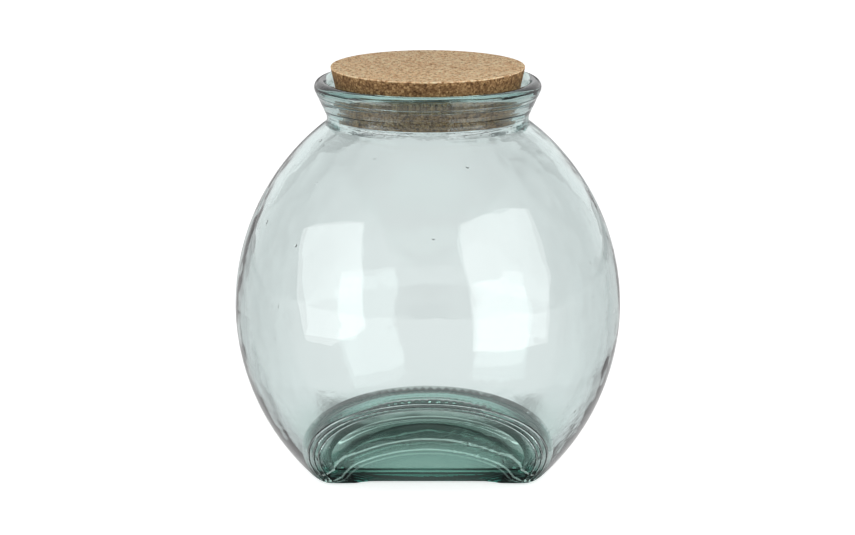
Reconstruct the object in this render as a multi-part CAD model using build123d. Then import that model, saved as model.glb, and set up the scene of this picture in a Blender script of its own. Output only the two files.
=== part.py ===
from build123d import *
import os
from math import cos, radians, sin, sqrt, tan

# Storage jar of thick pressed glass with a tapered cork stopper.
# The round body stands on its foot or, tilted forward, on a second flat face cut low on its front.
# Millimetres. +Z is up, the jar's axis is Z, the foot stands on Z = 0, and the tilt face looks towards -Y.

# Body of the jar, outside: one arc that stands upright at the belly, turned round the axis
belly_radius = 125.0
belly_height = 113.5
body_arc_radius = 151.0

# Body of the jar, inside: the wall keeps its thickness up the shoulder and thickens towards the foot
belly_wall = 6.5
heel_thickening = 8.5
foot_wall = 12.0

# Neck, from the crease above the shoulder up to a flared collar with a rounded lip
neck_radius = 65.2
neck_height = 4.2
collar_height = 23.3
collar_flare = 8.2
lip_thickness = 9.6
crease_rounding = 3.0
collar_rounding = 6.0

# Throat, the narrowest part of the mouth, where the stopper seats
throat_wall = 8.6
mouth_depth = 20.3
throat_rounding = 6.0
throat_foot_rounding = 10.0

# Tilt face: a flat cut across the front of the body, sloping up and forward from a straight edge
tilt_angle = 40.0
tilt_edge_offset = 32.0
tilt_wall = 8.0

# Rounding where the body, the foot and the tilt face meet
heel_rounding = 16.0
inner_heel_rounding = 20.0

# Shallow round hollows in the foot and in the tilt face, which leave a ring to stand on
hollow_radius = 62.0
hollow_border_width = 15.0
hollow_depth = 2.2
hollow_rounding = 1.2

# Cork stopper, whose cone seats on the rounded top of the throat; its reach is what hangs below the seat
cork_height = 32.2
cork_reach = 3.4
cork_taper = 13.0
cork_clearance = 0.3
cork_edge_rounding = 0.9

# How far a cutting tool runs past what it cuts
overrun = 10.0


def arc_radius_at(belly, arc_radius, height):
    """Distance from the axis of an arc that stands upright at the belly, at a given height."""
    return belly - arc_radius + sqrt(arc_radius**2 - (height - belly_height) ** 2)


def arc_height_at(belly, arc_radius, radius):
    """Height above the belly at which that arc is a given distance from the axis."""
    return belly_height + sqrt(arc_radius**2 - (radius - belly + arc_radius) ** 2)


def body_arc(belly, arc_radius, low, high):
    """That arc as a curve between two heights, drawn as radius and height."""
    heights = (low, (low + high) / 2, high)
    return ThreePointArc(*[(arc_radius_at(belly, arc_radius, height), height) for height in heights])


def revolved(outline):
    """Turn a closed outline, drawn as radius and height, round the jar's axis."""
    return revolve(Plane.XZ * make_face(outline), Axis.Z)


def circles_at(solid, radius, height):
    """The round edges of a solid that have a given radius and lie at a given height."""
    return [
        edge
        for edge in solid.edges().filter_by(GeomType.CIRCLE)
        if abs(edge.radius - radius) + abs(edge.arc_center.Z - height) < radius / 10**6
    ]


# Places that follow from the sizes above
foot_radius = arc_radius_at(belly_radius, body_arc_radius, 0)
crease_height = arc_height_at(belly_radius, body_arc_radius, neck_radius)
neck_top_height = crease_height + neck_height
lip_height = neck_top_height + collar_height
inner_belly_radius = belly_radius - belly_wall
inner_shoulder_arc_radius = body_arc_radius - belly_wall
inner_lower_arc_radius = inner_shoulder_arc_radius - heel_thickening
floor_radius = arc_radius_at(inner_belly_radius, inner_lower_arc_radius, foot_wall)
throat_radius = neck_radius - throat_wall
throat_top_height = lip_height - mouth_depth
throat_foot_height = arc_height_at(inner_belly_radius, inner_shoulder_arc_radius, throat_radius)
throat_join_height = (throat_foot_height + throat_top_height * 2) / 3
tilt_slope = radians(tilt_angle)
tilt_outward = Vector(0, -sin(tilt_slope), -cos(tilt_slope))
tilt_upward = Vector(0, -cos(tilt_slope), sin(tilt_slope))
tilt_edge = Vector(0, -tilt_edge_offset, 0)


def lip_centre():
    """Centre of the lip's round section, drawn as radius and height."""
    lip_radius = lip_thickness / 2
    return Vector(neck_radius + collar_flare - lip_radius, lip_height - lip_radius)


def lip_touch(point, side):
    """Where a line from a point just touches the lip's round section.

    The side is 1 for the outside of the lip and -1 for its inside.
    """
    lip_radius = lip_thickness / 2
    away = Vector(*point) - lip_centre()
    along = away.normalized() * (lip_radius**2 / away.length)
    across = Vector(-away.Y, away.X).normalized() * sqrt(lip_radius**2 - along.length**2)
    touch = lip_centre() + along + across * side
    return (touch.X, touch.Y)


def jar_blank():
    """The jar's outside as one full body, open only where the collar flares."""
    neck_top = (neck_radius, neck_top_height)
    throat_top = (throat_radius, throat_top_height)
    outer_touch = lip_touch(neck_top, 1)
    inner_touch = lip_touch(throat_top, -1)
    outline = [
        Line((0, 0), (foot_radius, 0)),
        body_arc(belly_radius, body_arc_radius, 0, crease_height),
        Line((neck_radius, crease_height), neck_top),
        Line(neck_top, outer_touch),
        ThreePointArc(outer_touch, (lip_centre().X, lip_height), inner_touch),
        Line(inner_touch, throat_top),
        Line(throat_top, (throat_radius, throat_join_height)),
        Line((throat_radius, throat_join_height), (0, throat_join_height)),
        Line((0, throat_join_height), (0, 0)),
    ]
    body = revolved(outline)
    body = fillet(circles_at(body, neck_radius, crease_height), crease_rounding)
    body = fillet(circles_at(body, neck_radius, neck_top_height), collar_rounding)
    return fillet(circles_at(body, throat_radius, throat_top_height), throat_rounding)


def jar_cavity():
    """The space inside the jar, from its floor up into the throat."""
    throat_join = (throat_radius, throat_join_height)
    outline = [
        Line((0, foot_wall), (floor_radius, foot_wall)),
        body_arc(inner_belly_radius, inner_lower_arc_radius, foot_wall, belly_height),
        body_arc(inner_belly_radius, inner_shoulder_arc_radius, belly_height, throat_foot_height),
        Line((throat_radius, throat_foot_height), throat_join),
        Line(throat_join, (0, throat_join_height)),
        Line((0, throat_join_height), (0, foot_wall)),
    ]
    space = revolved(outline)
    return fillet(circles_at(space, throat_radius, throat_foot_height), throat_foot_rounding)


def beyond_tilt_face(inset):
    """A block that fills everything in front of the tilt face, moved into the glass by inset."""
    size = belly_radius * 2 + overrun
    face = Plane(origin=tilt_edge - tilt_outward * inset, x_dir=(1, 0, 0), z_dir=tilt_outward)
    return face * Box(size * 2, size * 2, size, align=(Align.CENTER, Align.CENTER, Align.MIN))


def cut_to_tilt(solid, inset, rounding):
    """Cut the tilt face across a full round body, and round the edges low on the body."""
    solid -= beyond_tilt_face(inset)
    return fillet([edge for edge in solid.edges() if is_low_edge(edge)], rounding)


def is_low_edge(edge):
    """True for an edge of the foot or the tilt face, and not for the seam of the turned body."""
    highest = max((edge @ share).Z for share in (0, 1 / 4, 1 / 2, 3 / 4, 1))
    rises_behind = (edge @ (1 / 2)).Y > 0 and abs((edge @ 0).Z - (edge @ 1).Z) > overrun
    return highest < belly_height and not rises_behind


def tilt_face_length():
    """How far the tilt face reaches from its straight edge up to the round body."""
    shortest, longest = foot_radius, belly_radius * 2
    while longest - shortest > belly_radius / 10**9:
        reach = (shortest + longest) / 2
        body = arc_radius_at(belly_radius, body_arc_radius, reach * sin(tilt_slope))
        if body > tilt_edge_offset + reach * cos(tilt_slope):
            shortest = reach
        else:
            longest = reach
    return shortest


def tilt_face_centre():
    """Middle of the circle that passes through the tilt face's top and both ends of its straight edge."""
    reach = tilt_face_length()
    half_edge_squared = foot_radius**2 - tilt_edge_offset**2
    circle_radius = (reach**2 + half_edge_squared) / (2 * reach)
    return tilt_edge + tilt_upward * (reach - circle_radius)


def hollow_tool():
    """A dish that sinks a round hollow into the face at Z = 0, with a border that curves up to its floor."""
    rim = (hollow_radius, 0)
    floor_edge = (hollow_radius - hollow_border_width, hollow_depth)
    outline = [
        Line((0, hollow_depth), floor_edge),
        TangentArc(floor_edge, rim, tangent=(1, 0)),
        Line(rim, (hollow_radius + overrun, 0)),
        Line((hollow_radius + overrun, 0), (hollow_radius + overrun, -overrun)),
        Line((hollow_radius + overrun, -overrun), (0, -overrun)),
        Line((0, -overrun), (0, hollow_depth)),
    ]
    dish = revolved(outline)
    return fillet(circles_at(dish, hollow_radius, 0), hollow_rounding)


def glass_jar():
    jar = cut_to_tilt(jar_blank(), 0, heel_rounding)
    on_tilt_face = Plane(origin=tilt_face_centre(), x_dir=(1, 0, 0), z_dir=-tilt_outward)
    jar -= hollow_tool()
    jar -= on_tilt_face * hollow_tool()
    return jar - cut_to_tilt(jar_cavity(), tilt_wall, inner_heel_rounding)


def cork_seat():
    """Radius and height at which the stopper's cone is a clearance away from the throat's rounded top."""
    taper = radians(cork_taper)
    flare_radius, flare_height = lip_touch((throat_radius, throat_top_height), -1)
    flare = Vector(flare_radius - throat_radius, flare_height - throat_top_height)
    rounding_foot = throat_top_height - throat_rounding * tan(radians(flare.get_angle(Vector(0, 1)) / 2))
    seat_radius = throat_radius + throat_rounding * (1 - cos(taper)) - cork_clearance * cos(taper)
    return seat_radius, rounding_foot + (throat_rounding + cork_clearance) * sin(taper)


def cork_lid():
    """The tapered stopper, seated in the throat."""
    seat_radius, seat_height = cork_seat()
    slope = tan(radians(cork_taper))
    bottom_radius = seat_radius - cork_reach * slope
    standing = (Align.CENTER, Align.CENTER, Align.MIN)
    stopper = Cone(bottom_radius, bottom_radius + cork_height * slope, cork_height, align=standing)
    stopper = fillet(stopper.edges().filter_by(GeomType.CIRCLE), cork_edge_rounding)
    return Pos(0, 0, seat_height - cork_reach) * stopper


os.makedirs("parts", exist_ok=True)
export_step(glass_jar(), "parts/glass_jar.step")
export_step(cork_lid(), "parts/cork_lid.step")
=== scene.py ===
# %% [markdown]
# This notebook dresses a storage jar of thick, pale green recycled glass and its cork stopper. The solids
# come ready made from CAD. The jar keeps its CAD shape, because glass shows every curve of its wall, and
# gets a glass material with waves and tiny seeds. The stopper is turned again here on the CAD stopper's
# box, because its two rims should catch the light as a turned edge does.

# %% Load the fixed model
from math import cos, radians, sin, tan

import bmesh
import bpy
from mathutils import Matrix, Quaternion, Vector


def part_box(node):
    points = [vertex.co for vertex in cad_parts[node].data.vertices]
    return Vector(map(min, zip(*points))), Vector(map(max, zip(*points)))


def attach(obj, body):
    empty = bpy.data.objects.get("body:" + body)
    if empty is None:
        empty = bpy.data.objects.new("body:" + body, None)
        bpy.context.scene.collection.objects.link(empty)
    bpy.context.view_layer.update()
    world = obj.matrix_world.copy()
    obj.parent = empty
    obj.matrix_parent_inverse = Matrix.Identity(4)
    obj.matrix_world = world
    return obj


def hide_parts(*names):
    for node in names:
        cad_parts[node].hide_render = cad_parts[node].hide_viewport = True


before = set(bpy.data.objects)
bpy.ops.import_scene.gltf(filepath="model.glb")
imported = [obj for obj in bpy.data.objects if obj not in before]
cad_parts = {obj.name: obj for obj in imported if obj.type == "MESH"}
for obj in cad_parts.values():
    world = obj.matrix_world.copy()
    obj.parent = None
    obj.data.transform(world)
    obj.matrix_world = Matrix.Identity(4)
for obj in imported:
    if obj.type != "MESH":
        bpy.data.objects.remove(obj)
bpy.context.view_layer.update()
scene = bpy.context.scene
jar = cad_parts["glass_jar"]

# %% [markdown]
# The photograph was taken from about 3.4 m away with a long lens, a little above the jar, so the circles of
# the lid and the foot look like narrow ellipses and the upright sides stay nearly parallel. The camera is
# aimed at a point near the middle of the jar by asking for the rotation that turns its own -Z axis towards
# that point.

# %% Camera
camera = bpy.data.objects.new("camera", bpy.data.cameras.new("camera"))
scene.collection.objects.link(camera)
scene.camera = camera
camera.location = (0, -3.300, 0.8246)
aim = Vector((-0.0002, 0, 0.1373))
camera.rotation_euler = (aim - camera.location).to_track_quat("-Z", "Y").to_euler()
camera.data.sensor_width = 36
camera.data.lens = 218.6
print("camera is", round((aim - camera.location).length, 3), "m from its aim")


# %% [markdown]
# Materials are built from nodes, and every node can be made by hand in the editor. A few small helpers keep
# the cells short. One starts a material and gives its tree and its Principled shader, one adds a node with
# its settings, and one joins an output to an input. The others each give back an output: a sum, a soft step
# from one value to another, a distance from the axis, a colour ramp, and a blend of two colours.

# %% Helpers that make materials and nodes
def new_material(name):
    """A node material, with its tree and its Principled shader."""
    material = bpy.data.materials.new(name)
    material.use_nodes = True
    return material, material.node_tree, material.node_tree.nodes["Principled BSDF"]


def add_node(tree, kind, label, inputs=None, **settings):
    """Add a node, set its properties and the plain values of its inputs."""
    node = tree.nodes.new(kind)
    node.label = label
    for name, value in settings.items():
        setattr(node, name, value)
    for name, value in (inputs or {}).items():
        node.inputs[name].default_value = value
    return node


def join(tree, output, target):
    """Join an output to an input."""
    tree.links.new(output, target)


def set_or_join(tree, value, target):
    """Fill an input with a plain value, or join a socket to it."""
    if isinstance(value, bpy.types.NodeSocket):
        join(tree, value, target)
    else:
        target.default_value = value


print("helpers for nodes ready")


# %% Helpers that calculate
def calculate(tree, label, operation, first, second=0.0):
    """A Math node. Each input may be a socket or a plain number."""
    node = add_node(tree, "ShaderNodeMath", label, operation=operation)
    set_or_join(tree, first, node.inputs[0])
    set_or_join(tree, second, node.inputs[1])
    return node.outputs[0]


def between(tree, label, source, span, values):
    """Go from the first of two values to the second as the source crosses a span, with soft ends."""
    node = add_node(tree, "ShaderNodeMapRange", label, interpolation_type="SMOOTHSTEP")
    for name, value in zip(("From Min", "From Max", "To Min", "To Max"), (*span, *values)):
        node.inputs[name].default_value = value
    join(tree, source, node.inputs["Value"])
    return node.outputs["Result"]


def distance_in_plan(tree, label, place):
    """Distance of a place from the Z axis."""
    flat = add_node(tree, "ShaderNodeVectorMath", "drop the height", operation="MULTIPLY")
    flat.inputs[1].default_value = (1, 1, 0)
    join(tree, place, flat.inputs[0])
    reach = add_node(tree, "ShaderNodeVectorMath", label, operation="LENGTH")
    join(tree, flat.outputs[0], reach.inputs[0])
    return reach.outputs["Value"]


print("helpers for sums ready")


# %% Helpers for colours
def ramp(tree, label, source, stops):
    """Turn a grey value into a colour through a row of colour stops."""
    node = add_node(tree, "ShaderNodeValToRGB", label)
    while len(node.color_ramp.elements) < len(stops):
        node.color_ramp.elements.new(0.5)
    for element, (place, colour) in zip(node.color_ramp.elements, stops):
        element.position = place
        element.color = (*colour, 1)
    join(tree, source, node.inputs["Fac"])
    return node.outputs["Color"]


def blend(tree, label, share, first, second, mode="MIX"):
    """Blend two colours. Each may be a socket or a plain colour.

    The Mix node keeps one set of sockets for each kind of value, with the same names, so here they go by
    number.
    """
    node = add_node(tree, "ShaderNodeMix", label, data_type="RGBA", blend_type=mode)
    set_or_join(tree, share, node.inputs[0])
    for number, colour in ((6, first), (7, second)):
        plain = not isinstance(colour, bpy.types.NodeSocket)
        set_or_join(tree, (*colour, 1) if plain else colour, node.inputs[number])
    return node.outputs[2]


print("helpers for colours ready")

# %% [markdown]
# Recycled glass is clear, with a faint blue green that only shows where light travels far through it: in
# the lip, along the sides and above all in the thick foot. That is absorption, so the colour starts in the
# volume, and a tint of the surface only adds to it where the glass is thickest. The blown surface isn't a
# true curve either. It has long, shallow waves, ripples round the shoulder where the hot glass was
# gathered, and seeds, which are tiny bubbles. These go into one bump, each as a height that is added to the
# last. Places on the jar are in metres.

# %% Recycled glass
glass, tree, shader = new_material("recycled_glass_green")
shader.inputs["Transmission Weight"].default_value = 1.0
shader.inputs["Roughness"].default_value = 0.0
shader.inputs["IOR"].default_value = 1.52
on_jar = add_node(tree, "ShaderNodeTexCoord", "place on the jar").outputs["Object"]
jar_place = add_node(tree, "ShaderNodeSeparateXYZ", "height on the jar")
join(tree, on_jar, jar_place.inputs[0])
jar_height, jar_depth = jar_place.outputs["Z"], jar_place.outputs["Y"]
print("glass bends light by", round(shader.inputs["IOR"].default_value, 2))

# %% Long waves, calm on the pressed base and stronger behind
base_to_body, base_waves = (0.030, 0.090), (0.15, 1.0)
axis_to_back, back_waves = (0.0, 0.05), (1.0, 1.3)
waves = add_node(tree, "ShaderNodeTexNoise", "long waves of blown glass",
                 {"Scale": 20.0, "Detail": 2.0, "Roughness": 0.5})
join(tree, on_jar, waves.inputs["Vector"])
calm_base = between(tree, "calm on the pressed base", jar_height, base_to_body, base_waves)
rough_back = between(tree, "more uneven behind", jar_depth, axis_to_back, back_waves)
wave_strength = calculate(tree, "strength of the waves", "MULTIPLY", calm_base, rough_back)
surface = calculate(tree, "waves", "MULTIPLY", waves.outputs["Fac"], wave_strength)
print("glass waves are about", round(1000 / waves.inputs["Scale"].default_value), "mm long")

# %% Ripples round the shoulder
shoulder_to_neck, ripple_strength = (0.195, 0.228), 0.22
squeezed = add_node(tree, "ShaderNodeMapping", "squeeze the noise along the axis", {"Scale": (0.6, 0.6, 6.0)})
join(tree, on_jar, squeezed.inputs["Vector"])
ripples = add_node(tree, "ShaderNodeTexNoise", "ripples", {"Scale": 22.0, "Detail": 2.0, "Roughness": 0.5})
join(tree, squeezed.outputs[0], ripples.inputs["Vector"])
near_neck = between(tree, "only near the neck", jar_height, shoulder_to_neck, (0.0, ripple_strength))
neck_ripples = calculate(tree, "ripples near the neck", "MULTIPLY", ripples.outputs["Fac"], near_neck)
surface = calculate(tree, "waves and ripples", "ADD", surface, neck_ripples)
print("ripples begin at", round(shoulder_to_neck[0] * 1000), "mm")

# %% Two turned lines under the lip
turned_half_width = 0.0014
turned_lines = ((0.2520, 0.40), (0.2455, 0.30))
for level, strength in turned_lines:
    above = calculate(tree, "height above the turned line", "SUBTRACT", jar_height, level)
    away = calculate(tree, "away from the turned line", "ABSOLUTE", above)
    turned = between(tree, "turned line", away, (0.0, turned_half_width), (strength, 0.0))
    surface = calculate(tree, "with a turned line", "ADD", surface, turned)
print("turned lines at", [round(level * 1000, 1) for level, strength in turned_lines], "mm")

# %% Chill wrinkles in patches, low on the body
body_to_base, in_patch, wrinkle_strength = (0.075, 0.115), (0.55, 0.68), 0.07
wrinkles = add_node(tree, "ShaderNodeTexNoise", "chill wrinkles",
                    {"Scale": 110.0, "Detail": 2.0, "Distortion": 1.2})
join(tree, on_jar, wrinkles.inputs["Vector"])
patchy = add_node(tree, "ShaderNodeTexNoise", "in patches", {"Scale": 14.0, "Detail": 0.0})
join(tree, on_jar, patchy.inputs["Vector"])
low_down = between(tree, "low on the body", jar_height, body_to_base, (1.0, 0.0))
patch = between(tree, "patches", patchy.outputs["Fac"], in_patch, (0.0, wrinkle_strength))
wrinkled_part = calculate(tree, "where they are", "MULTIPLY", low_down, patch)
wrinkled = calculate(tree, "wrinkles in patches", "MULTIPLY", wrinkles.outputs["Fac"], wrinkled_part)
surface = calculate(tree, "with wrinkles", "ADD", surface, wrinkled)
print("wrinkles are about", round(1000 / wrinkles.inputs["Scale"].default_value), "mm long")

# %% Seeds and the bump
seed_rim, seed_depth = (0.015, 0.045), -0.25
seeds = add_node(tree, "ShaderNodeTexVoronoi", "seeds", {"Scale": 34.0, "Randomness": 1.0}, feature="F1")
join(tree, on_jar, seeds.inputs["Vector"])
dimples = between(tree, "tiny dimples", seeds.outputs["Distance"], seed_rim, (seed_depth, 0.0))
surface = calculate(tree, "with seeds", "ADD", surface, dimples)
glass_bump = add_node(tree, "ShaderNodeBump", "uneven surface", {"Strength": 1.0, "Distance": 0.0010})
join(tree, glass_bump.outputs[0], shader.inputs["Normal"])
print("bump of", round(glass_bump.inputs["Distance"].default_value * 1000, 1), "mm")

# %% [markdown]
# The jar has two flat faces to stand on, the foot and the tilt face, and the mould pressed a ring and a few
# fine lines round each. They are only tenths of a millimetre high, but in clear glass they show as crisp
# bright lines. A node group draws them: it takes a place measured from a flat's middle, with Z counted into
# the glass, and gives the height of the lines, how deep the green is there, with the green taken off along
# the lines as a painted highlight, and a mask of the sloping border of the hollow, which turns light away
# from the eye and gets a painted shade. A Mapping node turns the tilt face level for it.

# %% Pressed lines, a node group
pressed = bpy.data.node_groups.new("pressed_lines", "ShaderNodeTree")
pressed.interface.new_socket("Place", in_out="INPUT", socket_type="NodeSocketVector")
for name in ("Radius", "Spacing", "Width", "Middle"):
    pressed.interface.new_socket(name, in_out="INPUT", socket_type="NodeSocketFloat")
for name in ("Height", "Green", "Border"):
    pressed.interface.new_socket(name, in_out="OUTPUT", socket_type="NodeSocketFloat")
given = add_node(pressed, "NodeGroupInput", "inputs").outputs
result = add_node(pressed, "NodeGroupOutput", "outputs").inputs
from_middle = distance_in_plan(pressed, "distance from the middle", given["Place"])
flat_place = add_node(pressed, "ShaderNodeSeparateXYZ", "depth in the glass")
join(pressed, given["Place"], flat_place.inputs[0])
past_ring = calculate(pressed, "past the ring's border", "SUBTRACT", from_middle, given["Radius"])
print("group measures from the middle of a flat")

# %% Three fine lines, a spacing apart
skin, line_strengths = (0.0045, 0.0060), (1.0, 0.8, 0.6)
lines = 0.0
for count, strength in enumerate(line_strengths):
    shift = calculate(pressed, "next line", "MULTIPLY", given["Spacing"], count)
    past_line = calculate(pressed, "shifted", "SUBTRACT", past_ring, shift)
    away = calculate(pressed, "away from the line", "ABSOLUTE", past_line)
    in_widths = calculate(pressed, "away in line widths", "DIVIDE", away, given["Width"])
    line = between(pressed, "line", in_widths, (0.0, 1.0), (strength, 0.0))
    lines = calculate(pressed, "lines together", "ADD", line, lines)
on_surface = between(pressed, "only on the outside", flat_place.outputs["Z"], skin, (1.0, 0.0))
lines = calculate(pressed, "lines outside", "MULTIPLY", lines, on_surface)
join(pressed, lines, result["Height"])
print("lines drawn with", len(pressed.nodes), "nodes")

# %% How deep the green is on a flat, with a painted highlight on the lines
thick_glass = (0.012, 0.018)
ring_slope, ring_green = (-0.008, 0.000), 0.45
rim_slope, hollow_slope = (0.0010, 0.0060), (-0.024, -0.016)
near = between(pressed, "near the flat", flat_place.outputs["Z"], thick_glass, (1.0, 0.0))
ring = between(pressed, "paler on the ring", past_ring, ring_slope, (1.0, ring_green))
rim = between(pressed, "gone beyond the ring", past_ring, rim_slope, (1.0, 0.0))
middle = add_node(pressed, "ShaderNodeMapRange", "middle of the hollow",
                  {"From Min": hollow_slope[0], "From Max": hollow_slope[1], "To Max": 1.0})
join(pressed, past_ring, middle.inputs["Value"])
join(pressed, given["Middle"], middle.inputs["To Min"])
green = calculate(pressed, "ring and rim", "MULTIPLY", ring, rim)
green = calculate(pressed, "with the middle", "MULTIPLY", green, middle.outputs["Result"])
green = calculate(pressed, "near the flat only", "MULTIPLY", green, near)
# Painted highlight: the green is taken off along the pressed lines, so that they show lighter than the glass
# round them.
at_most_one = calculate(pressed, "at most one", "MINIMUM", lines, 1.0)
between_lines = calculate(pressed, "highlight painted on a line", "SUBTRACT", 1.0, at_most_one)
green = calculate(pressed, "green between the lines", "MULTIPLY", green, between_lines)
join(pressed, green, result["Green"])
print("green is", ring_green, "as deep on the ring")

# %% Sloping border of the hollow, a mask for painted shade, strongest where it faces down
border_start, border_end, up_the_face = (-0.0265, -0.0235), (-0.0125, -0.0080), (-0.044, 0.004)
# Mask for a painted shade: the sloping border of the hollow turns light away from the eye, so the glass
# colour is darkened there.
border = calculate(pressed, "border of the hollow", "MULTIPLY",
                   between(pressed, "border begins", past_ring, border_start, (0.0, 1.0)),
                   between(pressed, "border ends", past_ring, border_end, (1.0, 0.0)))
border = calculate(pressed, "border outside", "MULTIPLY", border, on_surface)
faces_down = between(pressed, "strongest where it faces down", flat_place.outputs["Y"],
                     up_the_face, (1.0, 0.0))
join(pressed, calculate(pressed, "upper border", "MULTIPLY", border, faces_down), result["Border"])
print("pressed lines group has", len(pressed.nodes), "nodes")


# %% Lines on the foot and on the tilt face
def pressed_flat(label, place, sizes):
    """Use the group on one flat."""
    node = add_node(tree, "ShaderNodeGroup", label, sizes, node_tree=pressed)
    join(tree, place, node.inputs["Place"])
    return node.outputs


tilt_angle = radians(40)
tilt_middle = Vector((0, -0.0611, 0.0244))
foot_line_share = 0.6
turned_middle = Vector((0, tilt_middle.y * cos(tilt_angle) - tilt_middle.z * sin(tilt_angle),
                        tilt_middle.y * sin(tilt_angle) + tilt_middle.z * cos(tilt_angle)))
level_face = add_node(tree, "ShaderNodeMapping", "turn the tilt face level",
                      {"Rotation": (tilt_angle, 0, 0), "Location": -turned_middle})
join(tree, on_jar, level_face.inputs["Vector"])
tilt_flat = pressed_flat("tilt face", level_face.outputs[0],
                         {"Radius": 0.0698, "Spacing": 0.0034, "Width": 0.0008, "Middle": 1.0})
foot_flat = pressed_flat("foot", on_jar,
                         {"Radius": 0.0750, "Spacing": -0.0125, "Width": 0.0030, "Middle": 0.05})
foot_lines = calculate(tree, "finer lines on the foot", "MULTIPLY", foot_flat["Height"], foot_line_share)
both_flats = calculate(tree, "lines of both flats", "ADD", tilt_flat["Height"], foot_lines)
surface = calculate(tree, "waves, seeds and lines", "ADD", surface, both_flats)
join(tree, surface, glass_bump.inputs["Height"])
print("lines placed round", [round(value, 4) for value in tilt_middle])

# %% [markdown]
# The foot, the tilt face and the heel between them and the body are the thickest glass, and light crosses
# them several times, so they look a deep bottle green. The volume gives part of that. A tint of the
# surface, which has faded out where the body begins, gives the rest, and it also survives in viewers that
# have no volume absorption.

# %% Where the glass is thick
heel_rise, outside_foot, heel_green = (0.016, 0.038), (0.072, 0.084), 0.52
collar_rise, collar_green = (0.232, 0.246), 0.08
lip_rise, lip_green = (0.2500, 0.2565), 0.65
thick_base = calculate(tree, "foot or tilt face", "MAXIMUM", tilt_flat["Green"], foot_flat["Green"])
from_jar_axis = distance_in_plan(tree, "distance from the axis", on_jar)
thick_heel = calculate(tree, "thick heel", "MULTIPLY",
                       between(tree, "heel", jar_height, heel_rise, (heel_green, 0.0)),
                       between(tree, "outside the foot", from_jar_axis, outside_foot, (0.0, 1.0)))
thick_base = calculate(tree, "foot, tilt face or heel", "MAXIMUM", thick_base, thick_heel)
thick_top = calculate(tree, "collar or lip", "ADD",
                      between(tree, "collar", jar_height, collar_rise, (0.0, collar_green)),
                      between(tree, "lip", jar_height, lip_rise, (0.0, lip_green)))
thick = calculate(tree, "all thick glass", "MAXIMUM", thick_base, thick_top)
print("lip tint begins at", round(lip_rise[0] * 1000), "mm")

# %% Colour of the glass, with a painted shade on the hollow's border
thick_green, edge_green, border_painted_shade = (0.54, 0.67, 0.62), (0.12, 0.38, 0.30), (0.045, 0.085, 0.07)
edge_rise, plain_white = (0.007, 0.014), (1.0, 1.0, 1.0)
tint = blend(tree, "deeper green in thick glass", thick, plain_white, thick_green)
bottom_edge = between(tree, "bottom edge", jar_height, edge_rise, (1.0, 0.0))
tint = blend(tree, "greenest at the bottom edge", bottom_edge, tint, edge_green)
# Painted shade: the hollow's sloping border is darkened to a near black green, because it turns light away
# from the eye.
tint = blend(tree, "painted shade on the hollow's border", tilt_flat["Border"], tint, border_painted_shade)
join(tree, tint, shader.inputs["Base Color"])
absorption = add_node(tree, "ShaderNodeVolumeAbsorption", "green of thick glass",
                      {"Color": (0.51, 0.76, 0.74, 1), "Density": 30.0})
join(tree, absorption.outputs[0], tree.nodes["Material Output"].inputs["Volume"])
for slot in jar.material_slots:
    slot.material = glass
print("jar dressed in", glass.name)

# %% [markdown]
# The stopper is agglomerated cork: granules of 1 to 3 mm pressed into a block and turned on a lathe. It is
# modelled as a lathe does it, by spinning its outline round the axis. The outline fills the CAD stopper's
# box, so it seats where the CAD one does.

# %% Stopper outline, spun round the axis
cork_taper, lathe_steps, same_place = radians(13), 96, 0.00001
low, high = (Vector(corner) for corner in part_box("cork_lid"))
top_radius = (high.x - low.x) / 2
bottom_radius = top_radius - (high.z - low.z) * tan(cork_taper)
cork_mesh = bmesh.new()
outline = [cork_mesh.verts.new(place) for place in (
    (0, 0, low.z), (bottom_radius, 0, low.z), (top_radius, 0, high.z), (0, 0, high.z))]
outline_edges = [cork_mesh.edges.new(pair) for pair in zip(outline, outline[1:])]
bmesh.ops.spin(cork_mesh, geom=outline + outline_edges, cent=(0, 0, 0), axis=(0, 0, 1), angle=radians(360),
               steps=lathe_steps, use_merge=True, use_duplicate=False)
bmesh.ops.remove_doubles(cork_mesh, verts=cork_mesh.verts, dist=same_place)
bmesh.ops.recalc_face_normals(cork_mesh, faces=cork_mesh.faces)
print("stopper from", round(bottom_radius * 2000, 1), "to", round(top_radius * 2000, 1), "mm across")

# %% Crisp turned edges
rim_width, sharpest_curve = 0.0007, radians(45)
rims = [edge for edge in cork_mesh.edges if edge.is_manifold and edge.calc_face_angle() > sharpest_curve]
bmesh.ops.bevel(cork_mesh, geom=rims, offset=rim_width, segments=3, profile=0.5, affect="EDGES", material=-1)
cork = bpy.data.objects.new("cork_stopper", bpy.data.meshes.new("cork_stopper"))
cork_mesh.to_mesh(cork.data)
cork_mesh.free()
scene.collection.objects.link(cork)
for face in cork.data.polygons:
    face.use_smooth = True
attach(cork, "lid")
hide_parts("cork_lid")
print("stopper has", len(cork.data.polygons), "faces")

# %% [markdown]
# Cork colour: each granule has its own shade of tan, with darker bark between some of them. Two Voronoi
# textures at different sizes give the granules, and a fine noise breaks their edges. The top's colour is
# much paler than the browner turned side: painted light, standing in for light that falls on the top from
# above.

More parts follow.
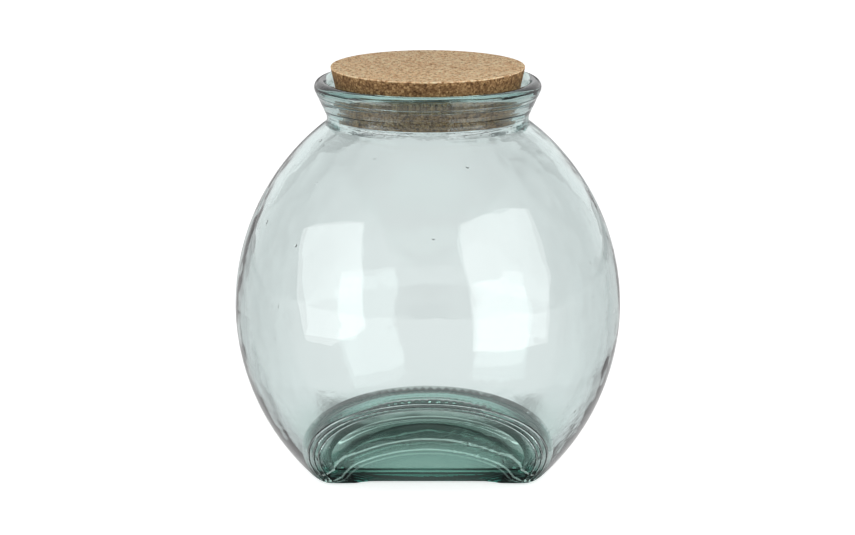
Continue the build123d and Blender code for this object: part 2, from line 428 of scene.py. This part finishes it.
# %% Cork granules
small_share = 0.45
cork_finish, tree, shader = new_material("pressed_cork")
on_cork = add_node(tree, "ShaderNodeTexCoord", "place on the stopper").outputs["Object"]
cork_place = add_node(tree, "ShaderNodeSeparateXYZ", "height on the stopper")
join(tree, on_cork, cork_place.inputs[0])
granules = add_node(tree, "ShaderNodeTexVoronoi", "granules",
                    {"Scale": 640.0, "Randomness": 1.0}, feature="F1")
join(tree, on_cork, granules.inputs["Vector"])
small = add_node(tree, "ShaderNodeTexVoronoi", "small granules",
                 {"Scale": 1300.0, "Randomness": 1.0}, feature="F1")
join(tree, on_cork, small.inputs["Vector"])
mixed = blend(tree, "large and small granules", small_share,
              granules.outputs["Color"], small.outputs["Color"])
granule_shade = add_node(tree, "ShaderNodeSeparateColor", "one grey for each granule")
join(tree, mixed, granule_shade.inputs[0])
print("granules are about", round(1000 / granules.inputs["Scale"].default_value, 1), "mm")

# %% Grain inside the granules and uneven pressing
fine = add_node(tree, "ShaderNodeTexNoise", "fine grain", {"Scale": 1400.0, "Detail": 3.0})
join(tree, on_cork, fine.inputs["Vector"])
uneven = add_node(tree, "ShaderNodeTexNoise", "uneven pressing", {"Scale": 45.0, "Detail": 2.0})
join(tree, on_cork, uneven.inputs["Vector"])
print("pressing varies over", round(1000 / uneven.inputs["Scale"].default_value), "mm")

# %% Cork colour, with painted light on the top
bark, fawn, tan_shade, cream = (0.22, 0.10, 0.04), (0.62, 0.36, 0.18), (1.0, 0.65, 0.36), (1.0, 0.85, 0.55)
dark_bark, umber = (0.04, 0.018, 0.007), (0.125, 0.063, 0.025)
hazel, honey = (0.235, 0.13, 0.054), (0.42, 0.26, 0.12)
top_skin = (high.z - 0.0012, high.z - 0.0002)
# Painted light: the top's colours run much paler than the side's, to stand in for light falling on the top
# from above.
lit_top_colour = ramp(tree, "top painted pale as lit", granule_shade.outputs[0],
              ((0.0, bark), (0.27, fawn), (0.52, tan_shade), (0.75, cream)))
turned_side = ramp(tree, "turned side", granule_shade.outputs[0],
                   ((0.0, dark_bark), (0.25, umber), (0.55, hazel), (0.85, honey)))
on_top = between(tree, "only on the top", cork_place.outputs["Z"], top_skin, (0.0, 1.0))
cork_colour = blend(tree, "top or side", on_top, turned_side, lit_top_colour)
print("top of the stopper is at", round(high.z * 1000, 1), "mm")

# %% Mottling
uneven_share, fine_share = 0.35, 0.25
mottles = ramp(tree, "patches", uneven.outputs["Fac"], ((0.3, (0.45, 0.45, 0.45)), (0.7, (0.62, 0.62, 0.62))))
cork_colour = blend(tree, "uneven pressing", uneven_share, cork_colour, mottles, "OVERLAY")
specks = ramp(tree, "specks", fine.outputs["Fac"], ((0.35, (0.3, 0.3, 0.3)), (0.65, (0.7, 0.7, 0.7))))
cork_colour = blend(tree, "fine grain", fine_share, cork_colour, specks, "OVERLAY")
join(tree, cork_colour, shader.inputs["Base Color"])
print("cork colours blended with", len(tree.nodes), "nodes")

# %% Cork relief
granule_slope, grain_height = (0.1, 0.8), 0.4
least_rough, most_rough = 0.78, 0.95
proud = between(tree, "granules stand proud", granules.outputs["Distance"], granule_slope, (1.0, 0.0))
grain = calculate(tree, "grain height", "MULTIPLY", fine.outputs["Fac"], grain_height)
relief = calculate(tree, "granules and grain", "ADD", proud, grain)
cork_bump = add_node(tree, "ShaderNodeBump", "cork relief", {"Strength": 0.5, "Distance": 0.0003})
join(tree, relief, cork_bump.inputs["Height"])
join(tree, cork_bump.outputs[0], shader.inputs["Normal"])
rough = between(tree, "dry granules", granule_shade.outputs[1], (0.0, 1.0), (least_rough, most_rough))
join(tree, rough, shader.inputs["Roughness"])
shader.inputs["Specular IOR Level"].default_value = 0.25
cork.data.materials.append(cork_finish)
print("stopper dressed in", cork_finish.name)

# %% [markdown]
# The jar stands on a plain white table. Glass shows its surroundings more than itself, so the same table is
# plain white to the camera and shaded to the rays that the glass sends on: bright at a distance on every
# side, darker close round the jar, which keeps the light away there, and green where light has come through
# the thick base. Without that the base would look as pale as the walls. A Light Path node tells the kinds
# of ray apart.


# %% Brightness by kind of ray
def by_ray(tree, camera_value, glass_value, plain_value):
    """White to the camera, the studio's shading to glass and gloss, and a plain level to matt surfaces."""
    path = add_node(tree, "ShaderNodeLightPath", "what kind of ray")
    glass_ray = calculate(tree, "glass or gloss", "MAXIMUM",
                          path.outputs["Is Glossy Ray"], path.outputs["Is Transmission Ray"])
    shaded = add_node(tree, "ShaderNodeMix", "what glass shows", {"A": plain_value}, data_type="FLOAT")
    join(tree, glass_ray, shaded.inputs["Factor"])
    join(tree, glass_value, shaded.inputs["B"])
    white = add_node(tree, "ShaderNodeMix", "white to the camera", {"B": camera_value}, data_type="FLOAT")
    join(tree, path.outputs["Is Camera Ray"], white.inputs["Factor"])
    join(tree, shaded.outputs["Result"], white.inputs["A"])
    return white.outputs["Result"], path.outputs["Is Camera Ray"]


print("ray helper ready")

# %% Table behind and beside the jar
behind_jar, behind_light = (0.12, 0.19), (0.10, 0.86)
beside_jar, beside_light = (0.060, 0.095), 0.80
to_the_sides, side_light = (0.03, 0.30), 0.72
far_table, far_light = (1.90, 2.60), 0.70
table_finish, tree, shader = new_material("white_table")
on_table = add_node(tree, "ShaderNodeTexCoord", "place on the table").outputs["Object"]
table_place = add_node(tree, "ShaderNodeSeparateXYZ", "distance behind the jar")
join(tree, on_table, table_place.inputs[0])
back = table_place.outputs["Y"]
sideways = calculate(tree, "distance to the side", "ABSOLUTE", table_place.outputs["X"])
far_off = calculate(tree, "behind or beside", "MAXIMUM",
                    between(tree, "bright far behind", back, behind_jar, behind_light),
                    between(tree, "bright beside the jar", sideways, beside_jar, (0.0, beside_light)))
far_off = calculate(tree, "fading to the sides", "MULTIPLY", far_off,
                    between(tree, "to the sides", sideways, to_the_sides, (1.0, side_light)))
far_off = calculate(tree, "dimmer far away", "MULTIPLY", far_off,
                    between(tree, "far away", back, far_table, (1.0, far_light)))
print("table is dimmer from", far_table[0], "m behind the jar's axis")

# %% [markdown]
# A jar of thick glass is a lens, and it throws a pale patch and thin bright arcs on the table beneath it.
# Traced light would need a very long render to show them, so the table's own finish draws them, and only
# for rays that come from glass or gloss. The tilt face mirrors the arcs as its crisp inner lines. Each arc
# is part of a circle with its middle behind the jar's axis, kept to the strip of table under the tilt face.

# %% Light gathered under the jar
front_edge, front_light = (-0.110, -0.075), 0.95
under_hollow, hollow_light = (0.028, 0.072), 0.72
arcs_middle, arc_half_width = 0.058, 0.0010
arcs = ((0.1175, 3.6), (0.1107, 3.0), (0.1080, 1.4))
strip_back, strip_side = (-0.020, 0.0), (0.066, 0.078)
from_axis = add_node(tree, "ShaderNodeVectorMath", "distance from the axis", operation="LENGTH")
join(tree, on_table, from_axis.inputs[0])
gathered = between(tree, "light gathered under the hollow", from_axis.outputs["Value"], under_hollow,
                   (hollow_light, 0.0))
shifted = add_node(tree, "ShaderNodeMapping", "measured from behind", {"Location": (0, -arcs_middle, 0)})
join(tree, on_table, shifted.inputs["Vector"])
from_arcs_middle = add_node(tree, "ShaderNodeVectorMath", "distance from the arcs' middle",
                            operation="LENGTH")
join(tree, shifted.outputs[0], from_arcs_middle.inputs[0])
strip = calculate(tree, "only under the tilt face", "MULTIPLY",
                  between(tree, "in front of the axis", back, strip_back, (1.0, 0.0)),
                  between(tree, "not beside it", sideways, strip_side, (1.0, 0.0)))
for arc_radius, strength in arcs:
    past_arc = calculate(tree, "from the arc", "SUBTRACT", from_arcs_middle.outputs["Value"], arc_radius)
    away = calculate(tree, "away from the arc", "ABSOLUTE", past_arc)
    arc = between(tree, "arc", away, (0.0, arc_half_width), (strength, 0.0))
    arc = calculate(tree, "arc of gathered light", "MULTIPLY", strip, arc)
    gathered = calculate(tree, "with an arc", "MAXIMUM", gathered, arc)
in_front = between(tree, "bright in front", back, front_edge, (front_light, 0.0))
ahead_of_axis = [round((radius - arcs_middle) * 1000, 1) for radius, strength in arcs]
print("arcs cross", ahead_of_axis, "mm in front of the axis")

# %% Coloured shadow, and the table's finish
shadow_edge, shadow_light, shadow_front = (0.070, 0.090), 0.11, (-0.030, 0.0)
green_glass_light, dark_paint, white_paint = (0.62, 0.88, 0.80), (0.03, 0.03, 0.03), (0.80, 0.80, 0.80)
camera_glow, plain_glow = 0.74, 0.45
shadow = between(tree, "coloured shadow", from_axis.outputs["Value"], shadow_edge, (1.0, 0.0))
in_shadow = calculate(tree, "light in the shadow", "MULTIPLY", shadow, shadow_light)
gathered = calculate(tree, "or in the coloured shadow", "MAXIMUM", gathered, in_shadow)
seen_in_glass = calculate(tree, "behind or in front", "MAXIMUM", far_off, in_front)
seen_in_glass = calculate(tree, "or under the jar", "MAXIMUM", seen_in_glass, gathered)
glow, to_camera = by_ray(tree, camera_glow, seen_in_glass, plain_glow)
join(tree, glow, shader.inputs["Emission Strength"])
front_shadow = calculate(tree, "shadow in front", "MULTIPLY", shadow,
                         between(tree, "in front of the hollow", back, shadow_front, (1.0, 0.0)))
green_shadow = blend(tree, "green where glass shades it", front_shadow, plain_white, green_glass_light)
glow_colour = blend(tree, "white to the camera", to_camera, green_shadow, plain_white)
join(tree, glow_colour, shader.inputs["Emission Color"])
paint = blend(tree, "paint of the table", to_camera, dark_paint, white_paint)
join(tree, paint, shader.inputs["Base Color"])
shader.inputs["Roughness"].default_value = 0.9
print("table finish has", len(tree.nodes), "nodes")

# %% Table
half_table = 8
table_mesh = bmesh.new()
bmesh.ops.create_grid(table_mesh, x_segments=2, y_segments=2, size=half_table)
floor = bpy.data.objects.new("floor", bpy.data.meshes.new("floor"))
table_mesh.to_mesh(floor.data)
table_mesh.free()
floor.data.materials.append(table_finish)
scene.collection.objects.link(floor)
print("floor is", floor.dimensions.x, "m wide")

# %% [markdown]
# The world is the studio behind the lamps. The camera sees it white. In the glass it is bright behind the
# jar, and dimmer in front and overhead, which gives the glass its grey body and the dark lines along its
# edges. A short stretch of it straight behind, where the table ends, is dark, and the sloping border of the
# hollow shows it.

# %% World
front_to_back, world_light = (-0.20, 0.95), (0.34, 0.95)
to_overhead, overhead_light = (0.5, 0.9), 0.68
straight_behind, horizon_dark, horizon = (0.12, 0.30), 0.85, (0.07, 0.16)
camera_white, plain_world = 1.0, 0.5
world = bpy.data.worlds.new("studio")
scene.world = world
world.use_nodes = True
tree = world.node_tree
direction = add_node(tree, "ShaderNodeSeparateXYZ", "direction of the ray")
join(tree, add_node(tree, "ShaderNodeTexCoord", "direction").outputs["Generated"], direction.inputs[0])
studio = calculate(tree, "studio brightness", "MULTIPLY",
                   between(tree, "bright behind, dim in front", direction.outputs["Y"],
                           front_to_back, world_light),
                   between(tree, "dimmer overhead", direction.outputs["Z"],
                           to_overhead, (1.0, overhead_light)))
to_the_side = calculate(tree, "to the side", "ABSOLUTE", direction.outputs["X"])
dark = calculate(tree, "low and straight behind", "MULTIPLY",
                 between(tree, "straight behind", to_the_side, straight_behind, (horizon_dark, 0.0)),
                 between(tree, "low", direction.outputs["Z"], horizon, (1.0, 0.0)))
light_left = calculate(tree, "share left", "SUBTRACT", 1.0, dark)
studio = calculate(tree, "dark at the horizon", "MULTIPLY", studio, light_left)
strength, _ = by_ray(tree, camera_white, studio, plain_world)
join(tree, strength, tree.nodes["Background"].inputs["Strength"])
tree.nodes["Background"].inputs["Color"].default_value = (*plain_white, 1)
print("world has", len(tree.nodes), "nodes")


# %% [markdown]
# Two tall softboxes stand left and right in front of the jar. Their reflections are the two pale, bent
# panels on the body, and their light gives the stopper its soft shading.

# %% Softboxes
def softbox(name, azimuth, elevation, distance, width, height, roll, power):
    """An area lamp that faces the jar, placed by its direction from the jar and rolled about its own axis."""
    lamp = bpy.data.lights.new(name, "AREA")
    lamp.shape = "RECTANGLE"
    lamp.size, lamp.size_y, lamp.energy = width, height, power
    box = bpy.data.objects.new(name, lamp)
    scene.collection.objects.link(box)
    turn, rise = radians(azimuth), radians(elevation)
    jar_middle = Vector((0, 0, 0.11))
    box.location = jar_middle + Vector((sin(turn) * cos(rise), -cos(turn) * cos(rise), sin(rise))) * distance
    facing = (jar_middle - box.location).to_track_quat("-Z", "Y")
    box.rotation_euler = (facing @ Quaternion((0, 0, 1), radians(roll))).to_euler()
    return box


left = softbox("softbox_left", azimuth=-58, elevation=13, distance=0.50,
               width=0.38, height=0.46, roll=20, power=1.1)
right = softbox("softbox_right", azimuth=47, elevation=14, distance=0.43,
                width=0.37, height=0.50, roll=-5, power=1.05)
for box in (left, right):
    print(box.name, "at", [round(value, 2) for value in box.location])

# %% [markdown]
# The last cell keeps the colours plain, without a film look.

view = scene.view_settings
view.view_transform = "Standard"
